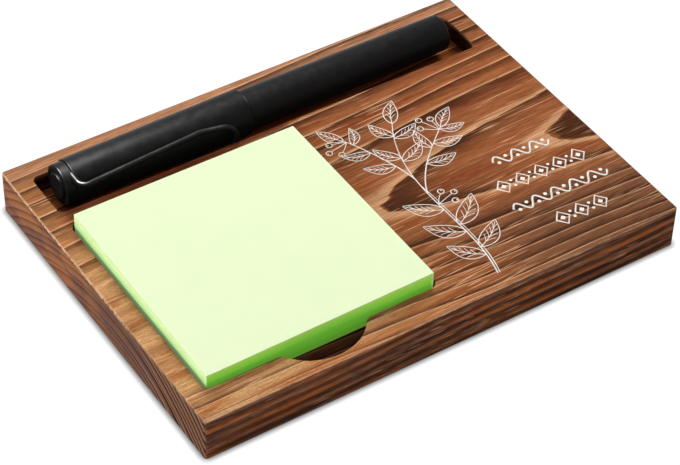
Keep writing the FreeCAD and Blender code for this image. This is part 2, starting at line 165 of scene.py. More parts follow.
def parted(tree, value):
    """The three numbers of a place, a direction or a colour."""
    made = tree.nodes.new("ShaderNodeSeparateXYZ")
    feed(tree, made.inputs[0], value)
    return list(made.outputs)


def place_in_mm(tree):
    """Object coordinates in millimetres, and the same as three numbers."""
    metres = node(tree, "ShaderNodeTexCoord", output=3)
    place = scaled(tree, metres, 1 / MM, 1 / MM, 1 / MM)
    return place, *parted(tree, place)


print("pattern helpers ready")

# %% Colour and finish helpers
def shade(red, green, blue):
    """A colour from its three 0 to 255 screen values, as the linear one that a shader takes."""
    return tuple(((c / 255 + 0.055) / 1.055) ** 2.4 for c in (red, green, blue)) + (1.0,)


def grey(tree, value):
    """A grey of this brightness, to darken or lighten a colour with."""
    return node(tree, "ShaderNodeCombineColor", {0: value, 1: value, 2: value})


def mixed(tree, share, first, second, kind="MIX"):
    """Mix two colours. Kind is the blend, such as MIX or MULTIPLY."""
    inputs = {0: share, 6: first, 7: second}
    return node(tree, "ShaderNodeMix", inputs, 2, data_type="RGBA", blend_type=kind)


def finish(name, **constants):
    """A new material, with these constants set directly on its Principled shader."""
    material = bpy.data.materials.new(name)
    material.use_nodes = True
    shader = material.node_tree.nodes["Principled BSDF"]
    for socket, value in constants.items():
        shader.inputs[socket.replace("_", " ")].default_value = value
    return material, material.node_tree, shader


def add_bump(tree, shader, height, strength, distance):
    """Let a height pattern tilt the surface: the distance is its depth in metres."""
    bump = node(tree, "ShaderNodeBump", {"Strength": strength, "Distance": distance, "Height": height})
    feed(tree, shader.inputs["Normal"], bump)


def dress(piece, material):
    """Give a piece one material in all its slots."""
    piece.data.materials.clear()
    piece.data.materials.append(material)
    for face in piece.data.polygons:
        face.material_index = 0


print("colour helpers ready")

# %% [markdown]
# ## The board's shape in numbers
# The finish needs to know where the board's faces, edges and hollows are. Its outside is read from
# the solid's own box. A tone that belongs to one place has a range below: from where to where it
# comes in, in mm, and then how strong it is at both, if that isn't nothing and all. Ranges for
# the front and the back lie along y, and those for the left and the right along x.

# %% The board in numbers
board_low, board_high = (Vector(corner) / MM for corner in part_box("wood_block"))
HALF_LENGTH = (board_high.x - board_low.x) / 2
HALF_DEPTH = (board_high.y - board_low.y) / 2
BOARD_TOP = board_high.z
print("board:", round(2 * HALF_LENGTH, 2), "x", round(2 * HALF_DEPTH, 2), "x", round(BOARD_TOP, 2))

# %% [markdown]
# ## Where a point lies on the board
# One finish covers the whole board, so it has to know which part of it a point belongs to. The
# normal tells the top from the sides and the ends. The distances to the outside and to the top
# tell the floors and walls of the hollows from the outer faces. All of it is kept in one small
# record, which the steps of the finish hand on to each other.

# %% Places on the board
GRAIN_TURN = -0.035        # how far the grain is turned from the board's length, in radians
FACING = (0.5, 0.9)        # the share of the normal at which a face starts to count, and counts
UPWARD = (0.4, 0.9)        # the same for the top
LEVEL = (0.3, 0.8)         # and for a hollow's floor
HOLLOW_INSET = (0.5, 1.5)  # a hollow's surface is farther than this from the outside, in mm
HOLLOW_DEPTH = (0.4, 1.5)  # and farther than this below the top


def places_on_board(tree):
    """What the finish knows of a point: where it is, which way it faces, how near an edge."""
    at = SimpleNamespace()
    at.place, at.x, at.y, at.z = place_in_mm(tree)
    at.grain = node(tree, "ShaderNodeMapping", {"Vector": at.place, "Rotation": (0.0, 0.0, GRAIN_TURN)})
    normal_x, normal_y, normal_z = parted(tree, node(tree, "ShaderNodeNewGeometry", output=1))
    at.endways = between(tree, maths(tree, "ABSOLUTE", normal_x), *FACING)
    at.sideways = between(tree, maths(tree, "ABSOLUTE", normal_y), *FACING)
    at.upward = between(tree, normal_z, *UPWARD)
    at.level = between(tree, normal_z, *LEVEL)
    at.from_end = maths(tree, "SUBTRACT", HALF_LENGTH, maths(tree, "ABSOLUTE", at.x))
    from_side = maths(tree, "SUBTRACT", HALF_DEPTH, maths(tree, "ABSOLUTE", at.y))
    at.from_edge = maths(tree, "MINIMUM", at.from_end, from_side)
    at.below_top = maths(tree, "SUBTRACT", BOARD_TOP, at.z)
    at.inside = product(tree, between(tree, at.from_edge, *HOLLOW_INSET),
                        between(tree, at.below_top, *HOLLOW_DEPTH))
    return at


print("a hollow counts from", HOLLOW_DEPTH[1], "mm below the top")

# %% [markdown]
# ## Wood as one solid block of rings
# A tree is a set of nested tubes, one for each year, about a pith that runs along the board, far
# below it. If the shader works out, for every point, how far it lies from that pith, then the
# same numbers draw arcs on the end, long bands on the top, and the pointed arches where a tube
# only just breaks through the surface. That is why the pattern uses the distance and not a
# picture on each face. The pith rises slowly along the board, and noise makes it wander.

# %% Rings of the tree
PITH_LINE = -14.3          # where the pith lies from front to back, in mm
PITH_DEPTH = 55.96         # how far it is below the board's top, at the middle
PITH_RISE = 0.024          # how much it rises for each mm to the right
BACK_SQUEEZE = 0.70        # rings are wider apart behind the pith's line than before it
RING_EDGES = [
    40.0, 43.7, 45.9, 48.0, 50.1, 54.35, 55.75,
    58.75, 60.75, 62.9, 65.3, 67.8, 70.4, 73.0, 75.4, 78.4, 81.8, 85.4, 89.2,
]                          # the radius at which each year ends
WANDER = ((0.014, 0.028, 0.028), 1.0, 0.4)
WANDER_ASIDE = 2.4         # how far the pith strays to either side, in mm
WANDER_UP = 0.15
RIPPLE = ((0.05, 0.25, 0.25), 2.0, 0.5)
RIPPLE_SIZE = 0.13         # how far a ring's line strays, in mm


def swing(tree, value, size):
    """Turn a noise from 0 to 1 into one from minus size to plus size."""
    return maths(tree, "MULTIPLY_ADD", value, 2 * size, -size)


def distance_from_pith(tree, at):
    """How far a point lies from the pith, in millimetres of an evenly grown tree."""
    wander = parted(tree, streaky(tree, at.place, *WANDER, output=1))
    aside = maths(tree, "SUBTRACT", at.y, PITH_LINE)
    aside = maths(tree, "ADD", aside, swing(tree, wander[0], WANDER_ASIDE))
    behind = product(tree, maths(tree, "MAXIMUM", aside, 0.0), BACK_SQUEEZE)
    across = maths(tree, "ADD", behind, maths(tree, "MINIMUM", aside, 0.0))
    pith_depth = maths(tree, "MULTIPLY_ADD", at.x, -PITH_RISE, PITH_DEPTH - BOARD_TOP)
    above = maths(tree, "ADD", at.z, pith_depth)
    above = maths(tree, "ADD", above, swing(tree, wander[1], WANDER_UP))
    squares = maths(tree, "MULTIPLY_ADD", above, above, product(tree, across, across))
    ripple = swing(tree, streaky(tree, at.place, *RIPPLE), RIPPLE_SIZE)
    return maths(tree, "ADD", maths(tree, "SQRT", squares), ripple)


print("rings in the board:", len(RING_EDGES) - 1)

# %% [markdown]
# ## From spring to autumn
# Within one year the wood goes from pale spring growth to dense dark autumn growth, and then
# jumps back to pale. On the brushed top this is a slow rise and a sharp fall, and on the long
# sides both ends of the band look soft. Some years end darker than others, and flaming burns
# them unevenly, which a patchy noise stands for.

# %% Years and their dark ends
AUTUMN_SHARE = [
    (0.0, 0.0), (0.3, 0.05), (0.5, 0.2), (0.68, 0.46), (0.82, 0.85), (0.92, 1.0), (0.98, 1.0), (1.0, 0.1),
]                          # how dark the wood is, by how far the year has gone
AUTUMN_DEPTH = [
    (40.0, 0.75), (50.0, 0.8), (53.5, 0.84), (55.7, 0.86), (56.0, 0.8), (60.0, 0.86), (63.0, 0.8),
    (68.0, 0.9), (74.0, 0.8), (89.0, 0.7),
]                          # how dark the end of a year is, by distance from the pith
BURNT_PATCH = ((0.02, 0.08, 0.08), 2.0, 0.5)
BURNT = (0.25, 0.55, 0.65, 1.0)
SOFT_RISE = (0.05, 0.5)    # the band on a long side comes and goes within these shares of the year
SOFT_FALL = (0.7, 1.0)
SOFT_DEPTH = 0.85


def curve(tree, value, points):
    """A broken line through (value, result) points, as a float curve that works from 0 to 1."""
    lows = [min(point[axis] for point in points) for axis in (0, 1)]
    spans = [max(point[axis] for point in points) - lows[axis] for axis in (0, 1)]
    made = tree.nodes.new("ShaderNodeFloatCurve")
    line = made.mapping.curves[0]
    for _ in points[2:]:
        line.points.new(0.5, 0.5)
    for spot, (value_here, result) in zip(line.points, sorted(points)):
        spot.location = ((value_here - lows[0]) / spans[0], (result - lows[1]) / spans[1])
        spot.handle_type = "VECTOR"
    made.mapping.update()
    share = maths(tree, "MULTIPLY_ADD", value, 1 / spans[0], -lows[0] / spans[0])
    feed(tree, made.inputs["Value"], share)
    return maths(tree, "MULTIPLY_ADD", made.outputs[0], spans[1], lows[1])


def year_rings(tree, at):
    """Add to the record how far the year has gone at a point, and how dark the wood is for it."""
    radius = distance_from_pith(tree, at)
    rings = curve(tree, radius, [(edge, index) for index, edge in enumerate(RING_EDGES)])
    at.year = maths(tree, "FRACT", rings)
    burnt = patch(tree, at.place, BURNT_PATCH, *BURNT)
    depth = product(tree, curve(tree, radius, AUTUMN_DEPTH), burnt)
    sharp = product(tree, curve(tree, at.year, AUTUMN_SHARE), depth, less(tree, at.sideways))
    soft = product(tree, between(tree, at.year, *SOFT_RISE), falling(tree, at.year, *SOFT_FALL))
    soft = product(tree, soft, depth, SOFT_DEPTH, at.sideways)
    at.autumn = maths(tree, "ADD", sharp, soft)


print("a year is darkest at", max(AUTUMN_SHARE, key=lambda point: point[1])[0], "of its width")

# %% [markdown]
# ## The colours of the top
# The board isn't one brown. Broad patches are paler or redder, the front right corner is smoked,
# and the left side, which the brush and the hand reach first, is worn to a light gold. Each of
# these is a mask made from the place on the board or from a long soft noise, and mixes one more
# colour in. That keeps every tone apart, so each can be set by itself.

# %% Colours of the top
WOOD_PALE = shade(162, 98, 60)
WOOD_REDDISH = shade(143, 75, 44)
WOOD_SPRING = shade(186, 124, 80)
WOOD_SMOKED = shade(122, 84, 60)
WOOD_GOLD = shade(211, 160, 109)
WOOD_GOLD_DEEP = shade(192, 124, 72)
WOOD_BACK_MARGIN = shade(204, 150, 114)
WOOD_RUST = shade(186, 102, 54)
BROAD_PATCH = ((0.025, 0.22, 0.22), 2.0, 0.5)
REDDISH = (0.4, 0.75, 0.0, 0.8)
SPRING_YEAR = (0.0, 0.25, 0.4)
GOLD_PATCH = ((0.05, 0.22, 0.22), 3.0, 0.6)
GOLD_DEEP = (0.5, 0.68)
GOLD_TO_LEFT = 0.016       # how fast the gold grows, for each mm to the left and to the front
GOLD_TO_FRONT = 0.010
GOLD_GROWS = (-0.3, 1.6)
GOLD_MOST = 0.95
GOLD_LESS_WHERE_RED = 0.75
GOLD_LESS_AT_BACK = (-5.0, 35.0, 1.0, 0.45)
SMOKED_FRONT = (-45.0, -20.0, 0.8)
SMOKED_RIGHT = (5.0, 45.0)
BACK_MARGIN = (50.0, 57.0, 0.0, 0.6)
RUST_FRONT = (-58.8, -56.0)
RUST_FROM_LEFT = (-78.0, -50.0, 0.0, 0.85)
RUST_RIGHT = (-18.0, 2.0, 0.0, 0.8)


def golden(tree, at, redder):
    """How far the top is worn to gold: more to the left, less where it is reddish or hollow."""
    grows = maths(tree, "MULTIPLY_ADD", at.y, -GOLD_TO_FRONT, product(tree, at.x, -GOLD_TO_LEFT))
    gold = product(tree, between(tree, grows, *GOLD_GROWS, 0.0, GOLD_MOST), at.upward)
    gold = product(tree, gold, less(tree, redder, GOLD_LESS_WHERE_RED), less(tree, at.inside))
    return product(tree, gold, between(tree, at.y, *GOLD_LESS_AT_BACK))


def top_colours(tree, at):
    """The tones of the top, one laid over the other."""
    redder = patch(tree, at.grain, BROAD_PATCH, *REDDISH)
    colour = mixed(tree, redder, WOOD_PALE, WOOD_REDDISH)
    colour = mixed(tree, falling(tree, at.year, *SPRING_YEAR), colour, WOOD_SPRING)
    smoked = product(tree, falling(tree, at.y, *SMOKED_FRONT), between(tree, at.x, *SMOKED_RIGHT))
    colour = mixed(tree, smoked, colour, WOOD_SMOKED)
    at.gold = golden(tree, at, redder)
    deep = patch(tree, at.grain, GOLD_PATCH, *GOLD_DEEP)
    colour = mixed(tree, at.gold, colour, mixed(tree, deep, WOOD_GOLD, WOOD_GOLD_DEEP))
    colour = mixed(tree, between(tree, at.y, *BACK_MARGIN), colour, WOOD_BACK_MARGIN)
    rust = product(tree, falling(tree, at.y, *RUST_FRONT), between(tree, at.x, *RUST_FROM_LEFT))
    rust = maths(tree, "MAXIMUM", rust, between(tree, at.x, *RUST_RIGHT))
    return mixed(tree, product(tree, rust, at.gold), colour, WOOD_RUST)


print("the gold is strongest at the left, up to", GOLD_MOST)

# %% [markdown]
# ## The colours of the sides and ends
# The long sides are duller, with rusty and dark patches along the grain. The ends show end grain,
# which drinks more stain: grey patches, and near the front pale and dark arcs of single years.
# They could be separate materials, but then the tones would jump at every rounded edge. Masks for
# the way that a face points keep it one material, and blend over the edge.

# %% Colours of the sides and ends
WOOD_SIDE = shade(172, 114, 84)
WOOD_SIDE_RUST = shade(204, 118, 70)
WOOD_SIDE_DARK = shade(100, 74, 68)
WOOD_END_BACK = shade(182, 122, 86)
WOOD_END_FRONT = shade(140, 101, 78)
WOOD_END_GREY = shade(120, 90, 85)
WOOD_END_PALE = shade(188, 144, 124)
WOOD_END_LINE = shade(42, 26, 26)
SIDE_PATCH = ((0.03, 0.3, 0.42), 2.0, 0.5)
SIDE_RUSTY = (0.5, 0.62)
SIDE_DARK = (0.34, 0.46, 0.8)
END_PATCH = ((0.02, 0.07, 0.16), 2.0, 0.5)
END_GREY = (0.42, 0.62, 0.0, 0.7)
END_PALE = (0.3, 0.6, 0.4, 1.0)
END_FRONT_TO_BACK = (-15.0, 25.0)
END_NEAR_FRONT = (-45.0, -10.0)
PALE_YEAR = (0.05, 0.4, 0.8)
DARK_YEAR_RISE = (0.5, 0.8, 0.0, 0.8)
DARK_YEAR_FALL = (0.95, 1.0)


def side_and_end_colours(tree, at, colour):
    """Lay the tones of the long sides and of the ends over the faces that point that way."""
    side = streaky(tree, at.grain, *SIDE_PATCH)
    side_colour = mixed(tree, between(tree, side, *SIDE_RUSTY), WOOD_SIDE, WOOD_SIDE_RUST)
    side_colour = mixed(tree, falling(tree, side, *SIDE_DARK), side_colour, WOOD_SIDE_DARK)
    colour = mixed(tree, at.sideways, colour, side_colour)
    end = streaky(tree, at.place, *END_PATCH)
    end_colour = mixed(tree, between(tree, at.y, *END_FRONT_TO_BACK), WOOD_END_FRONT, WOOD_END_BACK)
    end_colour = mixed(tree, between(tree, end, *END_GREY), end_colour, WOOD_END_GREY)
    colour = mixed(tree, at.endways, colour, end_colour)
    near_front = product(tree, falling(tree, at.y, *END_NEAR_FRONT), at.endways)
    pale = product(tree, falling(tree, at.year, *PALE_YEAR), between(tree, end, *END_PALE))
    colour = mixed(tree, product(tree, pale, near_front), colour, WOOD_END_PALE)
    dark = product(tree, between(tree, at.year, *DARK_YEAR_RISE), falling(tree, at.year, *DARK_YEAR_FALL))
    return mixed(tree, product(tree, dark, near_front), colour, WOOD_END_LINE)


print("side and end colours ready")

# %% [markdown]
# ## The dark bands
# Now the autumn growth is laid over the tones. It isn't equally dark everywhere: where the wood is
# worn to gold only the very end of a year still shows, so the mask is squared there and more.
# Brushing opens a fine pale line where the next year starts. Last, painted shade darkens the long
# sides towards the floor.

# %% The dark bands
WOOD_AUTUMN = shade(54, 32, 24)
WOOD_LINE = shade(234, 186, 142)
LEFT_MARGIN = (-78.0, -72.0)
LEFT_MARGIN_ABOUT_PITH = (15.0, 40.0)
LEFT_MARGIN_FADE = 0.85
END_FADES = (-50.0, 0.0, 0.0, 0.35)
SPRING_LINE = (0.03, 0.12, 0.5)
# painted shade at the foot of the long sides
PAINTED_FOOT_SHADE = (0.0, 9.0, 0.28)              # the long sides darken towards the floor


def autumn_bands(tree, at, colour):
    """Lay the years' dark ends and pale lines over the tones, and paint shade at the sides' foot."""
    from_pith = maths(tree, "ABSOLUTE", maths(tree, "SUBTRACT", at.y, PITH_LINE))
    left_margin = product(tree, falling(tree, at.x, *LEFT_MARGIN),
                          falling(tree, from_pith, *LEFT_MARGIN_ABOUT_PITH), at.gold)
    at.autumn = product(tree, at.autumn, less(tree, left_margin, LEFT_MARGIN_FADE))
    keener = maths(tree, "MULTIPLY_ADD", at.autumn, at.autumn, -1.0)
    at.autumn = product(tree, at.autumn, maths(tree, "MULTIPLY_ADD", at.gold, keener, 1.0))
    end_faded = product(tree, at.endways, between(tree, at.y, *END_FADES))
    at.autumn = product(tree, at.autumn, less(tree, end_faded))
    colour = mixed(tree, at.autumn, colour, WOOD_AUTUMN)
    line = product(tree, falling(tree, at.year, *SPRING_LINE), at.upward)
    colour = mixed(tree, line, colour, WOOD_LINE)
    # painted shade: the long sides darken towards the floor
    foot = less(tree, product(tree, falling(tree, at.z, *PAINTED_FOOT_SHADE), at.sideways))
    return mixed(tree, 1.0, colour, grey(tree, foot), "MULTIPLY")


print("the pale line takes", SPRING_LINE[1], "of a year's width")

# %% [markdown]
# ## Fibres, painted glints and pores
# Close to, wood is fibres. Streaks of a few centimetres, fibres of about one, light flecks that are
# painted glints of the lamps, and dark pores are noises of their own, each long along the board and
# fine across it. On an end the fibres are cut across and show as points, so all of them are held
# back there. Where the wood is worn to gold, a finer speckle takes their place.

# %% Fibres, painted glints and pores
# painted glints: pale flecks that stand for the lamps' gleam on the grain
WOOD_PAINTED_GLINT = shade(228, 172, 130)
WOOD_PORE = shade(52, 28, 18)
STREAKS = ((0.035, 0.95, 0.95), 3.0, 0.6)
FIBRES = ((0.11, 3.3, 3.3), 2.0, 0.65)
GLINTS = ((0.075, 2.5, 2.5), 1.0, 0.4)
GLINTS_SHOW = (0.6, 0.7, 0.0, 0.8)
GLINT_AREAS = ((0.03, 0.06, 0.06), 2.0, 0.5)
GLINT_AREAS_SHOW = (0.42, 0.6)
PORES = ((0.2, 3.2, 3.2), 1.0, 0.4)
PORES_SHOW = (0.62, 0.74, 0.0, 0.6)
SPECKLE = ((0.9, 2.0, 2.0), 3.0, 0.7)
STREAK_TONES = (0.3, 0.7, 0.86, 1.12)      # a noise from here to there darkens or lightens by this
FIBRE_TONES = (0.3, 0.7, 0.7, 1.26)
SPECKLE_TONES = (0.35, 0.65, 0.82, 1.16)
GOLD_CALMS = 0.3           # how much fainter the streaks and fibres are on the gold and on an end
END_CALMS = 0.7
END_HIDES_GLINTS = 0.9


def fibres_and_pores(tree, at, colour):
    """Break the tones up into streaks, fibres, painted glints and pores."""
    calm = product(tree, less(tree, at.gold, GOLD_CALMS), less(tree, at.endways, END_CALMS))
    streaks = patch(tree, at.grain, STREAKS, *STREAK_TONES)
    colour = mixed(tree, calm, colour, grey(tree, streaks), "MULTIPLY")
    at.fibres = streaky(tree, at.grain, *FIBRES)
    colour = mixed(tree, calm, colour, grey(tree, between(tree, at.fibres, *FIBRE_TONES)), "MULTIPLY")
    # painted glints of light, held back on the ends
    painted_glints = product(tree, patch(tree, at.grain, GLINTS, *GLINTS_SHOW),
                     patch(tree, at.place, GLINT_AREAS, *GLINT_AREAS_SHOW),
                     less(tree, at.endways, END_HIDES_GLINTS))
    colour = mixed(tree, painted_glints, colour, WOOD_PAINTED_GLINT)
    pores = patch(tree, at.grain, PORES, *PORES_SHOW)
    colour = mixed(tree, product(tree, pores, calm), colour, WOOD_PORE)
    speckle = patch(tree, at.grain, SPECKLE, *SPECKLE_TONES)
    return mixed(tree, at.gold, colour, grey(tree, speckle), "MULTIPLY")


print("fibres are", round(FIBRES[0][1] / FIBRES[0][0]), "times as long as they are wide")

# %% [markdown]
# ## The hollows
# The brush doesn't reach into the recess, the scoop and the slot, so they keep the dark stain, and
# painted shade is laid over it, darker on the walls than on the floors; each floor has its own
# tone. The narrow land between the recess and the slot gets a painted shadow. A tint that
# multiplies keeps the rings in view beneath it.

# %% The hollows
# stain with painted shade in the hollows: walls darker than floors, each floor its own tone
WOOD_WALL_STAIN_AND_SHADE = shade(92, 62, 50)
WOOD_SCOOP_FLOOR = shade(140, 132, 165)
WOOD_RECESS_FLOOR = shade(150, 122, 108)
WOOD_SLOT_FLOOR = shade(232, 200, 166)
WOOD_LAND_SHADOW = shade(176, 156, 154)
STAIN_AND_SHADE = 0.9
SCOOP_TO_RECESS = (-49.5, -47.5)
RECESS_TO_SLOT = (29.0, 33.0)
LAND_FRONT = (26.0, 29.0)
LAND_BACK = (34.5, 37.0)
LAND_LEFT = (-79.0, -73.0)
LAND_RIGHT = (0.0, 8.0)


def stained_and_shaded_hollows(tree, at, colour):
    """Darken the hollows with stain and painted shade, and paint a shadow on the land between two."""
    floor_tint = mixed(tree, between(tree, at.y, *SCOOP_TO_RECESS), WOOD_SCOOP_FLOOR, WOOD_RECESS_FLOOR)
    floor_tint = mixed(tree, between(tree, at.y, *RECESS_TO_SLOT), floor_tint, WOOD_SLOT_FLOOR)
    # the hollows' stain and painted shade, darker on the walls
    hollow = mixed(tree, at.level, WOOD_WALL_STAIN_AND_SHADE, floor_tint)
    colour = mixed(tree, product(tree, at.inside, STAIN_AND_SHADE), colour, hollow, "MULTIPLY")
    # painted shadow of the pen on the land between the recess and the slot
    land_shadow = product(tree, between(tree, at.y, *LAND_FRONT), falling(tree, at.y, *LAND_BACK))
    land_shadow = product(tree, land_shadow, falling(tree, at.x, *LAND_RIGHT), between(tree, at.x, *LAND_LEFT))
    return mixed(tree, land_shadow, colour, WOOD_LAND_SHADOW, "MULTIPLY")


print("the recess floor starts at", SCOOP_TO_RECESS[1], "mm from the board's middle")

# %% [markdown]
# ## Worn and highlit edges
# The upper edges are painted pale in an uneven line that is strongest at the left: partly wear from
# hands and cloth, partly painted highlight where the rounded edge catches the light. The two far
# edges are in the board's own shade and stay dark. The end's upper rim is scuffed: chips of pale
# wood, wear and painted highlight both, hang down from the edge by a ragged amount, which a noise
# decides.

# %% Worn and highlit edges
WOOD_EDGE_WEAR_AND_HIGHLIGHT = shade(240, 198, 160)
WOOD_FAR_EDGE = shade(84, 64, 54)
WOOD_WORN_DARK = shade(160, 104, 62)
WOOD_WORN_PALE_HIGHLIGHT = shade(255, 216, 164)
WORN_AND_HIGHLIT_PATCH = ((0.3, 0.5, 0.5), 3.0, 0.6)
WORN_AND_HIGHLIT = (0.25, 0.6, 0.25, 0.95)
RAGGED = ((1.0, 1.1, 0.12), 3.0, 0.6)
CHIPS = ((1.0, 0.9, 0.1), 4.0, 0.7)
CHIPS_PALE = (0.36, 0.62)
EDGE_ACROSS = (0.0, 0.6)   # a rubbed edge is this wide, in mm, and reaches down this far
EDGE_DOWN = (0.1, 0.5)
WORN_AND_HIGHLIT_LESS_AT_RIGHT = (-10.0, 70.0, 1.0, 0.45)
LEFT_RIM = (0.25 - HALF_LENGTH, 0.75 - HALF_LENGTH)
# towards the front, the left end's rim has less wear, less painted highlight and fewer chips
FRONT_OF_RIM = (-35.0, 5.0)                # the left end's rim is less worn towards the front
FRONT_RIM_UNWORN_UNLIT = 0.75  # how much of the rubbed line is missing there
FRONT_RIM_CHIPS = 0.2      # and how much of the chips is left
RIGHT_RIM = (HALF_LENGTH - 0.5, HALF_LENGTH - 0.2)
BACK_RIM = (HALF_DEPTH - 0.5, HALF_DEPTH - 0.2)
RIM_SHADE = 0.85
RAGGED_DEPTH = (-20.0, 25.0, 1.4, 0.5)
SCUFF_DOWN = (0.2, 0.6)
SCUFF_IN = (0.5, 1.0, 0.8)                 # how far in from the end the chips lie


def worn_and_highlit_edges(tree, at, colour):
    """Paint the upper edges pale with wear and highlight, shade the far ones, and chip the end's rim."""
    edge = product(tree, falling(tree, at.from_edge, *EDGE_ACROSS), falling(tree, at.below_top, *EDGE_DOWN))
    # wear and painted highlight along the upper edges
    worn_and_highlit = patch(tree, at.place, WORN_AND_HIGHLIT_PATCH, *WORN_AND_HIGHLIT)
    worn_and_highlit = product(tree, worn_and_highlit, between(tree, at.x, *WORN_AND_HIGHLIT_LESS_AT_RIGHT))
    front_left = product(tree, falling(tree, at.x, *LEFT_RIM),
                         falling(tree, at.y, *FRONT_OF_RIM, FRONT_RIM_UNWORN_UNLIT))
    colour = mixed(tree, product(tree, edge, worn_and_highlit, less(tree, front_left)), colour, WOOD_EDGE_WEAR_AND_HIGHLIGHT)
    far_edge = maths(tree, "MAXIMUM", between(tree, at.x, *RIGHT_RIM), between(tree, at.y, *BACK_RIM))
    colour = mixed(tree, product(tree, far_edge, RIM_SHADE), colour, WOOD_FAR_EDGE)
    ragged = product(tree, streaky(tree, at.place, *RAGGED), between(tree, at.y, *RAGGED_DEPTH))
    # pale chips on the end's rim: wear and painted highlight
    scuffed_and_highlit = falling(tree, maths(tree, "SUBTRACT", at.below_top, ragged), *SCUFF_DOWN)
    scuffed_and_highlit = product(tree, scuffed_and_highlit, at.endways, falling(tree, at.from_end, *SCUFF_IN))
    scuffed_and_highlit = product(tree, scuffed_and_highlit, between(tree, at.y, *FRONT_OF_RIM, FRONT_RIM_CHIPS, 1.0))
    chips = patch(tree, at.place, CHIPS, *CHIPS_PALE)
    return mixed(tree, scuffed_and_highlit, colour, mixed(tree, chips, WOOD_WORN_DARK, WOOD_WORN_PALE_HIGHLIGHT))


print("edges are worn over", EDGE_ACROSS[1], "mm")

# %% [markdown]
# ## The wood's finish
# The steps above are run in turn, each on the colour that the one before it gives. Brushing wears
# the soft spring wood down, so the autumn bands and the fibres stand proud, which a bump shows
# without any more faces. There is no lacquer on it, so the finish has no specular gleam; its glints
# are painted into the colour.

# %% The wood's finish
RELIEF = 0.00018           # the height of the brushed grain, in metres
RELIEF_STRENGTH = 0.5
RELIEF_SHARE = 0.8         # how much of it the autumn bands and the fibres each make
FIBRE_ROUGHNESS = (0.3, 0.7, 0.68, 0.52)


def wood_finish():
    """The whole board's finish, step by step."""
    material, tree, shader = finish("flamed_wood", Specular_IOR_Level=0.0)
    at = places_on_board(tree)
    year_rings(tree, at)
    colour = top_colours(tree, at)
    for step in (side_and_end_colours, autumn_bands, fibres_and_pores, stained_and_shaded_hollows, worn_and_highlit_edges):
        colour = step(tree, at, colour)
    feed(tree, shader.inputs["Base Color"], colour)
    height = maths(tree, "MULTIPLY_ADD", at.autumn, RELIEF_SHARE, product(tree, at.fibres, RELIEF_SHARE))
    add_bump(tree, shader, height, RELIEF_STRENGTH, RELIEF)
    feed(tree, shader.inputs["Roughness"], between(tree, at.fibres, *FIBRE_ROUGHNESS))
    return material


wood = wood_finish()
dress(nodes["wood_block"], wood)
print("nodes in the wood's finish:", len(wood.node_tree.nodes))

# %% [markdown]
# ## The pad, sheet by sheet
# A pad is a pile of thin sheets that never line up exactly. Each sheet is its own thin box with
# a small shift, so the pile's sides get their fine lines from real edges. The pile sags a little
# at its front left corner, where nothing holds the sheets together, so each sheet is cut into
# strips that can bend.

# %% Sheets of the pad
SHEET = 0.1                # one sheet's thickness with the air above it, in mm
SHEET_PAPER = 0.94         # the share of that thickness that is paper
SHIFT = (0.06, 0.025)      # how far a sheet may lie out of line, to the side and to the front
CORNER_SAG = 0.9           # how much lower the pad is at its front left corner
STACK_STRIPS = 4           # the strips in a sheet of the pile, and in the top note
NOTE_STRIPS = 12

random.seed(7)
stack_low, stack_high = (Vector(corner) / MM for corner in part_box("note_stack"))
note_low, note_high = (Vector(corner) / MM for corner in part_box("top_note"))
stack_size = stack_high - stack_low


def sag(spot):
    """How far the pile has sunk at a point: nothing at its back and right, most at the corner."""
    left = (stack_high.x - spot.x) / stack_size.x
    front = (stack_high.y - spot.y) / stack_size.y
    lift = (spot.z - stack_low.z) / stack_size.z
    return CORNER_SAG * left * front * lift


def add_sheet(bm, low, high, strips):
    """Add one sheet as a thin box cut into strips both ways, and return its corners."""
    made = bmesh.ops.create_cube(bm, size=1.0)
    size = high - low
    grow = Matrix.Translation((low + high) / 2) @ Matrix.Diagonal((*size, 1.0))
    bmesh.ops.transform(bm, matrix=grow, verts=made["verts"])
    faces = {face for corner in made["verts"] for face in corner.link_faces}
    for along in (Vector((1, 0, 0)), Vector((0, 1, 0))):
        for strip in range(1, strips):
            cut = low + size * strip / strips
            parts = dict.fromkeys(part for face in faces for part in (face, *face.edges, *face.verts))
            halves = bmesh.ops.bisect_plane(bm, geom=list(parts), plane_co=cut, plane_no=along)
            faces = {part for part in halves["geom"] if isinstance(part, bmesh.types.BMFace)}
    return {corner for face in faces for corner in face.verts}


def make_piece(name, bm, material):
    """Turn a bmesh drawn in millimetres into a piece in metres, with its faces pointing out."""
    bmesh.ops.recalc_face_normals(bm, faces=bm.faces)
    bmesh.ops.scale(bm, vec=(MM, MM, MM), verts=bm.verts)
    mesh = bpy.data.meshes.new(name)
    bm.to_mesh(mesh)
    bm.free()
    piece = bpy.data.objects.new(name, mesh)
    bpy.context.scene.collection.objects.link(piece)
    dress(piece, material)
    return piece


print("the pile is", round(stack_size.z, 2), "mm high")

# %% [markdown]
# ## Paper
# Paper scatters light inside itself. On top it looks pale. The cut edges are lit from within by
# light that has sunk through the sheets above, so a weak painted glow of the paper's own colour is
# added to them. Light and shade are painted into the front edge: pale near the top, then a green
# that deepens and darkens with depth, down into the scoop, with a painted highlight on its right
# corner. The other edges stay pale, with painted shade where they meet the recess.

# %% Paper's top
PAPER_TOP = shade(240, 254, 211)
PAPER_CLOUD = shade(234, 253, 203)
CLOUDS = (0.05, 3.0, 0.55)                 # a pattern of one scale, with its detail and roughness
CLOUDS_SHOW = (0.3, 0.7, 0.0, 0.25)
TOOTH = (9.0, 3.0, 0.6)
TOOTH_STRENGTH = 0.08
TOOTH_DEPTH = 0.00002


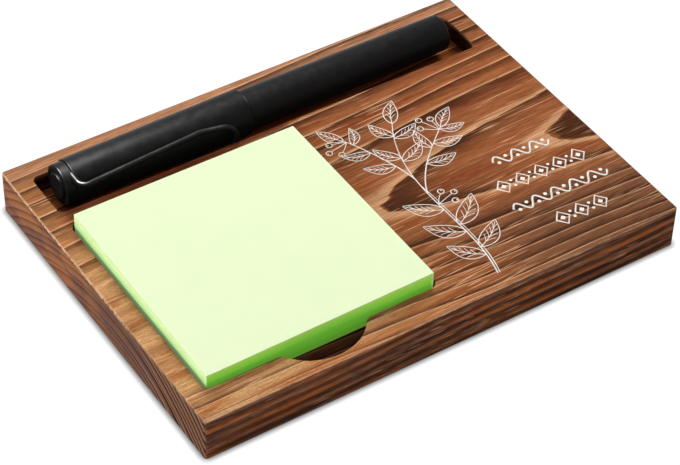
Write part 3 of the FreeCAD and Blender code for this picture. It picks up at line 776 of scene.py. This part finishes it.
def paper_top_finish():
    """Pale paper with faint clouds and a slight tooth."""
    material, tree, shader = finish("note_paper", Roughness=0.85, Specular_IOR_Level=0.0)
    place = place_in_mm(tree)[0]
    cloud = between(tree, noise(tree, place, *CLOUDS), *CLOUDS_SHOW)
    feed(tree, shader.inputs["Base Color"], mixed(tree, cloud, PAPER_TOP, PAPER_CLOUD))
    add_bump(tree, shader, noise(tree, place, *TOOTH), TOOTH_STRENGTH, TOOTH_DEPTH)
    return material


paper_top = paper_top_finish()
print("paper's top ready")

# %% Paper's edges
PAPER_SIDE = shade(224, 250, 186)
PAPER_LOW = shade(150, 226, 112)
# painted shade in the paper's green
PAPER_SHADED_GREEN = shade(70, 160, 40)
# a painted highlight on the front edge's right corner
PAPER_CORNER_HIGHLIGHT = shade(238, 240, 204)
SIDE_GLOW = (0.9, 1.0, 0.66, 1.0)
SIDE_GLOW_STRENGTH = 0.14
FRONT_GLOW = (0.30, 1.0, 0.036, 1.0)
FRONT_GLOW_STRENGTH = 0.25
# painted light and shade: pale near the pile's top, darkening to deep green down in the scoop
FRONT_LIT_AND_SHADED_TONES = [
    (0.8, shade(216, 250, 150)), (1.4, shade(202, 250, 118)), (2.4, shade(174, 246, 98)),
    (3.4, shade(146, 234, 80)), (4.0, shade(122, 214, 70)), (4.6, shade(104, 204, 62)),
    (6.5, shade(70, 180, 40)), (8.0, shade(20, 60, 10)),
]                          # (depth below the pile's top in mm, colour)
SIDE_LAYERS = ((0.02, 0.02, 9.0), 1.0, 0.5)
SIDE_LAYERS_SHOW = (0.3, 0.7, 0.0, 0.5)
FRONT_LAYERS = ((0.05, 0.02, 7.0), 2.0, 0.5)
FRONT_LAYERS_TONES = (0.3, 0.7, 0.95, 1.04)
LOW_DOWN = (stack_low.z + 3.5, stack_low.z + 7.5, 0.75)             # greener below, in mm
# painted shade: a dark band where the pile meets the recess
LOWEST_SHADE = (BOARD_TOP - 0.9, BOARD_TOP + 0.2, 0.7)                    # dark where the recess starts
FRONT_SKIN = (stack_low.y + 0.2, stack_low.y + 0.3)                 # sheets that lie a little back
LEFT_SKIN = (stack_low.x + 0.1, stack_low.x + 0.3)
RIGHT_CORNER = (stack_high.x - 0.8, stack_high.x - 0.4)             # lit from the right


def ramp(tree, value, stops):
    """A colour ramp from (place, colour) stops."""
    made = tree.nodes.new("ShaderNodeValToRGB")
    feed(tree, made.inputs[0], value)
    points = made.color_ramp.elements
    while len(points) < len(stops):
        points.new(0.5)
    for point, (place, colour) in zip(points, stops):
        point.position = place
        point.color = colour
    return made.outputs[0]


def paper_side_finish():
    """Left, right and back edges: pale above, greener lower down, painted shade at the recess."""
    material, tree, shader = finish("note_edges", Roughness=0.8, Specular_IOR_Level=0.0,
                                    Emission_Color=SIDE_GLOW, Emission_Strength=SIDE_GLOW_STRENGTH)
    place, x, y, z = place_in_mm(tree)
    layers = patch(tree, place, SIDE_LAYERS, *SIDE_LAYERS_SHOW)
    colour = mixed(tree, layers, PAPER_SIDE, PAPER_TOP)
    colour = mixed(tree, falling(tree, z, *LOW_DOWN), colour, PAPER_LOW)
    colour = mixed(tree, falling(tree, z, *LOWEST_SHADE), colour, PAPER_SHADED_GREEN)
    # side faces at the front left take the front edge's painted shade
    at_front = product(tree, falling(tree, y, *FRONT_SKIN), between(tree, x, *LEFT_SKIN))
    feed(tree, shader.inputs["Base Color"], mixed(tree, at_front, colour, PAPER_SHADED_GREEN))
    return material


def paper_front_finish():
    """The front edge: painted shade deepens its green with depth; a painted highlight on its right corner.
    """
    material, tree, shader = finish("note_front_edges", Roughness=0.8, Specular_IOR_Level=0.0,
                                    Emission_Color=FRONT_GLOW, Emission_Strength=FRONT_GLOW_STRENGTH)
    place, x, y, z = place_in_mm(tree)
    depth = product(tree, maths(tree, "SUBTRACT", stack_high.z, z), 1 / stack_size.z)
    colour = ramp(tree, depth, [(deep / stack_size.z, tone) for deep, tone in FRONT_LIT_AND_SHADED_TONES])
    layers = patch(tree, place, FRONT_LAYERS, *FRONT_LAYERS_TONES)
    colour = mixed(tree, 1.0, colour, grey(tree, layers), "MULTIPLY")
    # painted highlight on the right corner
    corner = between(tree, x, *RIGHT_CORNER)
    feed(tree, shader.inputs["Base Color"], mixed(tree, corner, colour, PAPER_CORNER_HIGHLIGHT))
    return material


paper_side = paper_side_finish()
paper_front = paper_front_finish()
dress(nodes["backing_sheet"], finish("pad_card", Base_Color=shade(196, 182, 150), Roughness=0.9)[0])
print("tones down the front edge:", len(FRONT_LIT_AND_SHADED_TONES))

# %% Build the pad
FRONT_FACE = 0.7           # a face whose normal points this far to the front takes the front's finish

stack_bm = bmesh.new()
sheet_count = round(stack_size.z / SHEET)
for index in range(sheet_count):
    low = Vector((stack_low.x, stack_low.y, stack_low.z + index * SHEET))
    high = Vector((stack_high.x, stack_high.y, low.z + SHEET * SHEET_PAPER))
    corners = add_sheet(stack_bm, low, high, STACK_STRIPS)
    shift = Vector((random.uniform(-SHIFT[0], SHIFT[0]), random.uniform(-SHIFT[1], SHIFT[1]), 0))
    for corner in corners:
        corner.co += shift - Vector((0, 0, sag(corner.co)))
note_pile = make_piece("note_pile", stack_bm, paper_side)
note_pile.data.materials.append(paper_front)
for face in note_pile.data.polygons:
    if face.normal.y < -FRONT_FACE:
        face.material_index = 1
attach(note_pile, "memo_pad")
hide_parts("note_stack")

top_bm = bmesh.new()
for corner in add_sheet(top_bm, note_low, note_high, NOTE_STRIPS):
    corner.co.z -= sag(corner.co)
top_sheet = make_piece("top_sheet", top_bm, paper_top)
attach(top_sheet, "top_note")
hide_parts("top_note")
print("sheets in the pile:", sheet_count, "faces:", len(note_pile.data.polygons))

# %% [markdown]
# ## The print on the wood
# The real block carries a thin white print. Here it is a leafy branch with berries, beside a few
# rows of plain running ornament. A print is ink with almost no height, drawn as lines, so each
# line is a curve with a small profile. The curves are made into one mesh, which is then pressed
# flat until it is as thin as a film of ink. Dots are flat discs of few sides.

# %% Strokes of ink
INK_WIDTH = 0.42           # the width of a line, in mm
INK_HEIGHT = 0.04          # how high the ink stands on the wood
DOT_SIDES = 10             # enough for a dot of a millimetre to look round

ink_lines = bpy.data.curves.new("ink_lines", "CURVE")
ink_lines.dimensions = "3D"
ink_lines.bevel_depth = INK_WIDTH / 2
ink_lines.bevel_resolution = 0
ink_lines.use_fill_caps = True
ink_dots = []


def stroke(points, start=1.0, end=1.0, closed=False):
    """Draw a line through these points, whose width goes from one share of the pen's to another."""
    spline = ink_lines.splines.new("POLY")
    spline.points.add(len(points) - 1)
    for index, (spot, point) in enumerate(zip(spline.points, points)):
        spot.co = (point[0], point[1], 0.0, 1.0)
        spot.radius = start + (end - start) * index / (len(points) - 1)
    spline.use_cyclic_u = closed


def dot(place, radius, sides=DOT_SIDES):
    """Keep a dot for later: it becomes a flat disc when the ink is laid."""
    ink_dots.append((place, radius, sides))


def towards(angle):
    """One step in this direction."""
    return Vector((math.cos(angle), math.sin(angle)))


def bowed(start, end, bow, steps=10):
    """Points from start to end on a line that bows to its left."""
    along = end - start
    aside = Vector((-along.y, along.x)).normalized() * bow
    shares = [index / steps for index in range(steps + 1)]
    return [start + along * share + aside * math.sin(math.pi * share) for share in shares]


print("an ink line is", INK_WIDTH, "mm wide")

# %% [markdown]
# ## Leaves and berries
# A leaf is two swelling edges, a midrib and a few paired veins. Every part of it is worked out from
# the midrib's points, so a bowed leaf keeps its veins inside its edges. A sprig is three short
# stalks, each with a round berry at its end.

# %% Leaves and berries
LEAF_STEPS = 14            # the straight pieces in a leaf's midrib and in each of its edges
LEAF_SLIMNESS = 0.42       # a leaf's width as a share of its length
VEIN_STEPS = (3, 5, 7, 9)  # where along the midrib the veins leave it
VEIN_AHEAD = 3             # how many steps ahead of its foot a vein ends
VEIN_REACH = 0.72          # how far out it goes, as a share of the way to the leaf's edge
LEAF_BOW = 1.0             # how far a leaf's midrib bows, in mm
TIP_BOW = 0.5
BERRY_RADIUS = 1.0
BERRY_SIDES = 14
BERRY_EYE = 0.24           # the dot in a berry, and how far it lies from the middle
BERRY_EYE_ASIDE = 0.45
SPRIG = [(-0.5, 0.7), (0.0, 1.0), (0.55, 0.75)]        # (turn, share of the sprig's length)
LEAF_EDGE = (0.9, 0.6)     # a stroke's width at its start and its end, as shares of the pen's
MIDRIB = (0.8, 0.5)
VEIN = (0.6, 0.4)
STALK = (0.7, 0.6)
BERRY_RING = (0.8, 0.8)
VEIN_BOW = 0.2
STALK_BOW = 0.35


def leaf(foot, angle, length, bow):
    """A pointed leaf with a midrib and paired veins."""
    tip = foot + towards(angle) * length
    middle = bowed(foot, tip, bow, LEAF_STEPS)
    aside = Vector((-(tip - foot).y, (tip - foot).x)).normalized()
    shares = [index / LEAF_STEPS for index in range(LEAF_STEPS + 1)]
    half_width = length * LEAF_SLIMNESS / 2
    swell = [math.sin(math.pi * share**0.8) ** 0.9 * half_width for share in shares]
    for side in (-1, 1):
        stroke([spot + aside * side * half for spot, half in zip(middle, swell)], *LEAF_EDGE)
        for index in VEIN_STEPS:
            ahead = index + VEIN_AHEAD
            reach = middle[ahead] + aside * side * swell[ahead] * VEIN_REACH
            stroke(bowed(middle[index], reach, -VEIN_BOW * side, 3), *VEIN)
    stroke(middle[:-1], *MIDRIB)


def berries(foot, angle, length):
    """A sprig with three small round berries."""
    for turn, share in SPRIG:
        along = towards(angle + turn)
        end = foot + along * length * share
        stroke(bowed(foot, end, STALK_BOW * turn, 5), *STALK)
        middle = end + along * BERRY_RADIUS
        turns = [math.tau * index / BERRY_SIDES for index in range(BERRY_SIDES)]
        ring = [middle + towards(around) * BERRY_RADIUS for around in turns]
        stroke(ring, *BERRY_RING, closed=True)
        dot(middle + along * BERRY_EYE_ASIDE, BERRY_EYE)


print("strokes in a leaf:", 2 * (1 + len(VEIN_STEPS)) + 1)

# %% Stems
LEAF_ANGLE = math.radians(50)
BERRY_ANGLE = math.radians(74)
SPRIG_LENGTH = 6.5
STEM_STEPS = 40
STEM = (1.2, 0.7)


def along_stem(stem, share):
    """The point at this share of a stem, which is a Bezier line, and the way it runs there."""
    first, second, third, last = stem
    rest = 1 - share
    point = first * rest**3 + second * 3 * rest**2 * share + third * 3 * rest * share**2 + last * share**3
    way = (second - first) * rest**2 + (third - second) * 2 * rest * share + (last - third) * share**2
    return point, math.atan2(way.y, way.x)


def stem_points(stem, steps):
    """The stem's first points: this many of its steps."""
    return [along_stem(stem, index / STEM_STEPS)[0] for index in range(steps + 1)]


def branch(stem, leaves, tip_leaf, berry_places):
    """Draw a stem with leaves at (share, side, length), a leaf at its tip and sprigs of berries."""
    stroke(stem_points(stem, STEM_STEPS), *STEM)
    for share, side, length in leaves:
        foot, way = along_stem(stem, share)
        leaf(foot, way + side * LEAF_ANGLE, length, side * LEAF_BOW)
    tip, way = along_stem(stem, 1.0)
    leaf(tip, way, tip_leaf, TIP_BOW)
    for share, side in berry_places:
        foot, way = along_stem(stem, share)
        berries(foot, way + side * BERRY_ANGLE, SPRIG_LENGTH)


print("a leaf leaves its stem at", round(math.degrees(LEAF_ANGLE)), "degrees")

# %% Draw the branch
MAIN_STEM = [Vector((20.0, -54.5)), Vector((27.0, -32.0)), Vector((15.0, -8.0)), Vector((31.0, 17.0))]
RIGHT_FORK = along_stem(MAIN_STEM, 0.56)[0]
RIGHT_TWIG = [RIGHT_FORK, RIGHT_FORK + Vector((4.0, 10.0)), Vector((36.0, 2.0)), Vector((43.0, 8.0))]
LEFT_FORK = along_stem(MAIN_STEM, 0.66)[0]
LEFT_TWIG = [LEFT_FORK, LEFT_FORK + Vector((-1.0, 8.0)), Vector((17.0, 12.0)), Vector((13.5, 18.0))]
MAIN_LEAVES = [
    (0.12, 1, 12.0), (0.17, -1, 13.0), (0.28, 1, 13.0), (0.33, -1, 14.5), (0.44, 1, 12.5),
    (0.80, 1, 9.5), (0.78, -1, 11.0), (0.92, -1, 10.0), (0.93, 1, 9.5),
]                          # (share of the stem, side, length in mm)
RIGHT_LEAVES = [(0.42, -1, 10.5), (0.66, 1, 9.5), (0.72, -1, 10.0), (0.96, -1, 8.5)]
LEFT_LEAVES = [(0.3, 1, 10.0), (0.62, 1, 9.0), (0.85, -1, 8.0)]
SECOND_STEPS = 21          # the stem's lower part has a second line beside it, this many steps long
SECOND_ASIDE = Vector((0.8, 0.0))
SECOND_END = 0.62
SECOND_LINE = (0.8, 0.6)

branch(MAIN_STEM, MAIN_LEAVES, 11.0, [(0.48, -1)])
branch(RIGHT_TWIG, RIGHT_LEAVES, 10.0, [(0.95, 1)])
branch(LEFT_TWIG, LEFT_LEAVES, 9.5, [(0.95, 1)])
second_line = [spot + SECOND_ASIDE for spot in stem_points(MAIN_STEM, SECOND_STEPS)]
stroke(second_line + [along_stem(MAIN_STEM, SECOND_END)[0]], *SECOND_LINE)
print("strokes in the branch:", len(ink_lines.splines))

# %% [markdown]
# ## Rows of ornament
# Beside the branch stand four rows of the plainest running patterns: a wave with a dot in every
# hollow, and a chain of lozenges with dots between them. A loop draws each row about the same
# middle, so a row's place is one number and its length another.

# %% Draw the rows of ornament
ROW_MIDDLE = 57.5          # from the board's middle to the rows', in mm
WAVE = 7.0                 # the length of one wave, and the distance between lozenges
WAVE_RISE = 2.0
WAVE_STEPS = 12            # the straight pieces in one wave
WAVE_LINE = 1.7            # the line's width as a share of the pen's
LOZENGE = [Vector((2.4, 0.0)), Vector((0.0, 2.9)), Vector((-2.4, 0.0)), Vector((0.0, -2.9))]
LOZENGE_LINE = 1.6
LOZENGE_DOT = 0.95         # the radius of the dot in a lozenge
WAVE_DOT = 0.62
WAVE_DOT_ASIDE = 0.9       # how far a wave's dot lies from the row's line
PAIR_DOT = 0.5
PAIR_ASIDE = 1.3


def wave_row(y, waves):
    """A running wave with a dot in every hollow."""
    left = ROW_MIDDLE - waves * WAVE / 2
    steps = [index / WAVE_STEPS for index in range(WAVE_STEPS * waves + 1)]
    wave = [(left + step * WAVE, y + WAVE_RISE * math.sin(math.tau * step)) for step in steps]
    stroke(wave, WAVE_LINE, WAVE_LINE)
    for index in range(2 * waves):
        side = 1 if index % 2 else -1
        dot(Vector((left + (index + 0.5) * WAVE / 2, y + side * WAVE_DOT_ASIDE)), WAVE_DOT)


def lozenge_row(y, count):
    """A chain of lozenges with a pair of dots between each two."""
    left = ROW_MIDDLE - (count - 1) * WAVE / 2
    for index in range(count):
        middle = Vector((left + index * WAVE, y))
        stroke([middle + corner for corner in LOZENGE], LOZENGE_LINE, LOZENGE_LINE, closed=True)
        dot(middle, LOZENGE_DOT, len(LOZENGE))
        if index:
            for side in (-1, 1):
                dot(middle + Vector((-WAVE / 2, PAIR_ASIDE * side)), PAIR_DOT)


ROWS = [(wave_row, -14.5, 3), (lozenge_row, -25.0, 5), (wave_row, -35.0, 5), (lozenge_row, -45.5, 3)]
for draw_row, y, count in ROWS:
    draw_row(y, count)
print("dots:", len(ink_dots))

# %% Lay the ink on the wood
INK_WHITE = shade(254, 248, 240)
INK_THIN = shade(226, 204, 184)
INK_WEAR = ((0.5, 2.4, 2.4), 3.0, 0.6)
INK_WORN = (0.55, 0.75, 0.0, 0.6)

ink_bm = bmesh.new()
line_object = bpy.data.objects.new("ink_lines", ink_lines)
line_mesh = bpy.data.meshes.new_from_object(line_object)
ink_bm.from_mesh(line_mesh)
bpy.data.objects.remove(line_object)
bpy.data.curves.remove(ink_lines)
bpy.data.meshes.remove(line_mesh)
for place, radius, sides in ink_dots:
    spot = Matrix.Translation((place[0], place[1], 0.0))
    bmesh.ops.create_cone(ink_bm, cap_ends=True, segments=sides, radius1=radius, radius2=radius,
                          depth=INK_WIDTH, matrix=spot)
press = Matrix.Diagonal((1.0, 1.0, INK_HEIGHT / INK_WIDTH, 1.0))
raise_up = Matrix.Translation((0.0, 0.0, BOARD_TOP + INK_HEIGHT / 2))
bmesh.ops.transform(ink_bm, matrix=raise_up @ press, verts=ink_bm.verts)

ink, ink_tree, ink_shader = finish("white_ink", Roughness=0.7, Specular_IOR_Level=0.0)
ink_thin = patch(ink_tree, place_in_mm(ink_tree)[0], INK_WEAR, *INK_WORN)
feed(ink_tree, ink_shader.inputs["Base Color"], mixed(ink_tree, ink_thin, INK_WHITE, INK_THIN))
white_print = make_piece("white_print", ink_bm, ink)
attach(white_print, "holder")
print("faces in the print:", len(white_print.data.polygons))

# %% [markdown]
# ## The pen
# The pen's shells are moulded in black plastic with a fine satin grain. Black shows its shape
# only by what it reflects, so the roughness matters more than the colour: it is varied a little
# by noise, and a very fine bump breaks up the gleam.

# %% Pen finishes
MOTTLE = (0.35, 4.0, 0.6)  # the scale, detail and roughness of the plastic's uneven gloss
SATIN = (6.0, 3.0, 0.6)    # and of its fine grain
SATIN_DEPTH = 0.00003


def satin_black(name, colour, roughness, grain=0.05, gloss=0.05):
    """Plastic of this colour whose gloss is a little uneven, with a fine grain."""
    material, tree, shader = finish(name, Base_Color=colour, Specular_IOR_Level=gloss)
    place = place_in_mm(tree)[0]
    duller, glossier = roughness + 0.05, roughness - 0.04
    uneven = between(tree, noise(tree, place, *MOTTLE), 0.3, 0.7, glossier, duller)
    feed(tree, shader.inputs["Roughness"], uneven)
    add_bump(tree, shader, noise(tree, place, *SATIN), grain, SATIN_DEPTH)
    return material


pen_black = satin_black("pen_plastic", shade(20, 20, 21), 0.36)
tip_metal = finish("tip_metal", Base_Color=shade(196, 196, 190), Metallic=1.0, Roughness=0.28)[0]
pen_finishes = {
    "cap_tube": pen_black,
    "cap_collar": pen_black,
    "cap_end_plug": pen_black,
    "barrel_tube": pen_black,
    "pocket_clip": satin_black("clip_wire", shade(15, 15, 16), 0.34, gloss=0.09),
    "grip_section": satin_black("grip_plastic", shade(28, 28, 30), 0.55, grain=0.2),
    "cap_inner_sleeve": satin_black("inner_plastic", shade(70, 70, 72), 0.5),
    "section_seal_ring": satin_black("seal_rubber", shade(20, 20, 20), 0.7),
    "refill_tube": satin_black("refill_plastic", shade(214, 216, 212), 0.3),
    "refill_end_plug": satin_black("refill_end_plastic", shade(40, 42, 48), 0.5),
    "refill_tip": tip_metal,
    "writing_ball": tip_metal,
}
for name, material in pen_finishes.items():
    dress(nodes[name], material)
    nodes[name].data.shade_smooth()
print("pieces of the pen:", len(pen_finishes))

# %% [markdown]
# ## Floor and light
# The block stands on white paper that runs out of sight. Seen by the camera, and in reflections,
# the floor and the world are plain white. For the light itself the floor is a dull grey and the
# world is only a soft fill. Two large soft lamps stand behind and to the left, so the near side
# falls into shade, and a third one only adds the gleam on the pen.

# %% Floor
FLOOR_SIZE = 6.0
FLOOR_PALE = 0.5           # how much of the light the floor throws back at the block
FLOOR_SEEN = 0.03          # the same as the camera sees it: less, so that shadows stay faint
FLOOR_WHITE = 1.04         # how bright the floor looks
CONTACT = 0.0020           # how far the dark line under the block's edges spreads, in metres
CONTACT_POWER = 1.8        # how quickly that line darkens towards the block
CONTACT_SAMPLES = 16       # how many rays look for that line
WHITE = (1.0, 1.0, 1.0, 1.0)


def seen_or_mirrored(tree):
    """1 for rays from the camera, a gleam or glass, and 0 for those that carry the light."""
    path = tree.nodes.new("ShaderNodeLightPath")
    seen = maths(tree, "MAXIMUM", path.outputs["Is Camera Ray"], path.outputs["Is Glossy Ray"])
    return maths(tree, "MAXIMUM", seen, path.outputs["Is Transmission Ray"])


def floor_finish():
    """White to look at, a dull grey to the light, with a painted contact shadow right beside the block."""
    material, tree, shader = finish("floor_paper", Roughness=0.9, Specular_IOR_Level=0.0,
                                    Emission_Color=WHITE)
    seen = seen_or_mirrored(tree)
    pale = maths(tree, "MULTIPLY_ADD", seen, FLOOR_SEEN - FLOOR_PALE, FLOOR_PALE)
    feed(tree, shader.inputs["Base Color"], grey(tree, pale))
    open_sky = node(tree, "ShaderNodeAmbientOcclusion", {"Distance": CONTACT}, 1, samples=CONTACT_SAMPLES)
    open_sky = maths(tree, "POWER", open_sky, CONTACT_POWER)
    glow = product(tree, seen, FLOOR_WHITE - FLOOR_SEEN, open_sky)
    feed(tree, shader.inputs["Emission Strength"], glow)
    return material


floor_bm = bmesh.new()
bmesh.ops.create_grid(floor_bm, x_segments=1, y_segments=1, size=FLOOR_SIZE / 2)
floor_mesh = bpy.data.meshes.new("floor")
floor_bm.to_mesh(floor_mesh)
floor_bm.free()
floor = bpy.data.objects.new("floor", floor_mesh)
bpy.context.scene.collection.objects.link(floor)
dress(floor, floor_finish())
print("floor:", FLOOR_SIZE, "m across")

# %% World and lamps
FILL = 0.4                 # how much light comes from all around

world = bpy.data.worlds.new("world")
bpy.context.scene.world = world
world.use_nodes = True
world_tree = world.node_tree
background = world_tree.nodes["Background"]
background.inputs["Color"].default_value = WHITE
strength = maths(world_tree, "MULTIPLY_ADD", seen_or_mirrored(world_tree), 1.0 - FILL, FILL)
feed(world_tree, background.inputs["Strength"], strength)


def soft_lamp(name, place, size, power):
    """A square lamp that looks at the middle of the block."""
    data = bpy.data.lights.new(name, "AREA")
    data.shape = "SQUARE"
    data.size = size
    data.energy = power
    lamp = bpy.data.objects.new(name, data)
    lamp.location = place
    lamp.rotation_euler = (-Vector(place)).to_track_quat("-Z", "Y").to_euler()
    bpy.context.scene.collection.objects.link(lamp)
    return lamp


back_lamp = soft_lamp("lamp_back", place=(0.57, 0.84, 0.95), size=0.55, power=13.0)
left_lamp = soft_lamp("lamp_left", place=(-1.2, 0.25, 0.55), size=0.6, power=8.0)
gleam_lamp = soft_lamp("lamp_gleam", place=(-0.13, 0.163, 0.34), size=0.2, power=38.0)
back_lamp.visible_glossy = False
left_lamp.visible_glossy = False
gleam_lamp.visible_diffuse = False
print("lamps set:", len(bpy.data.lights))
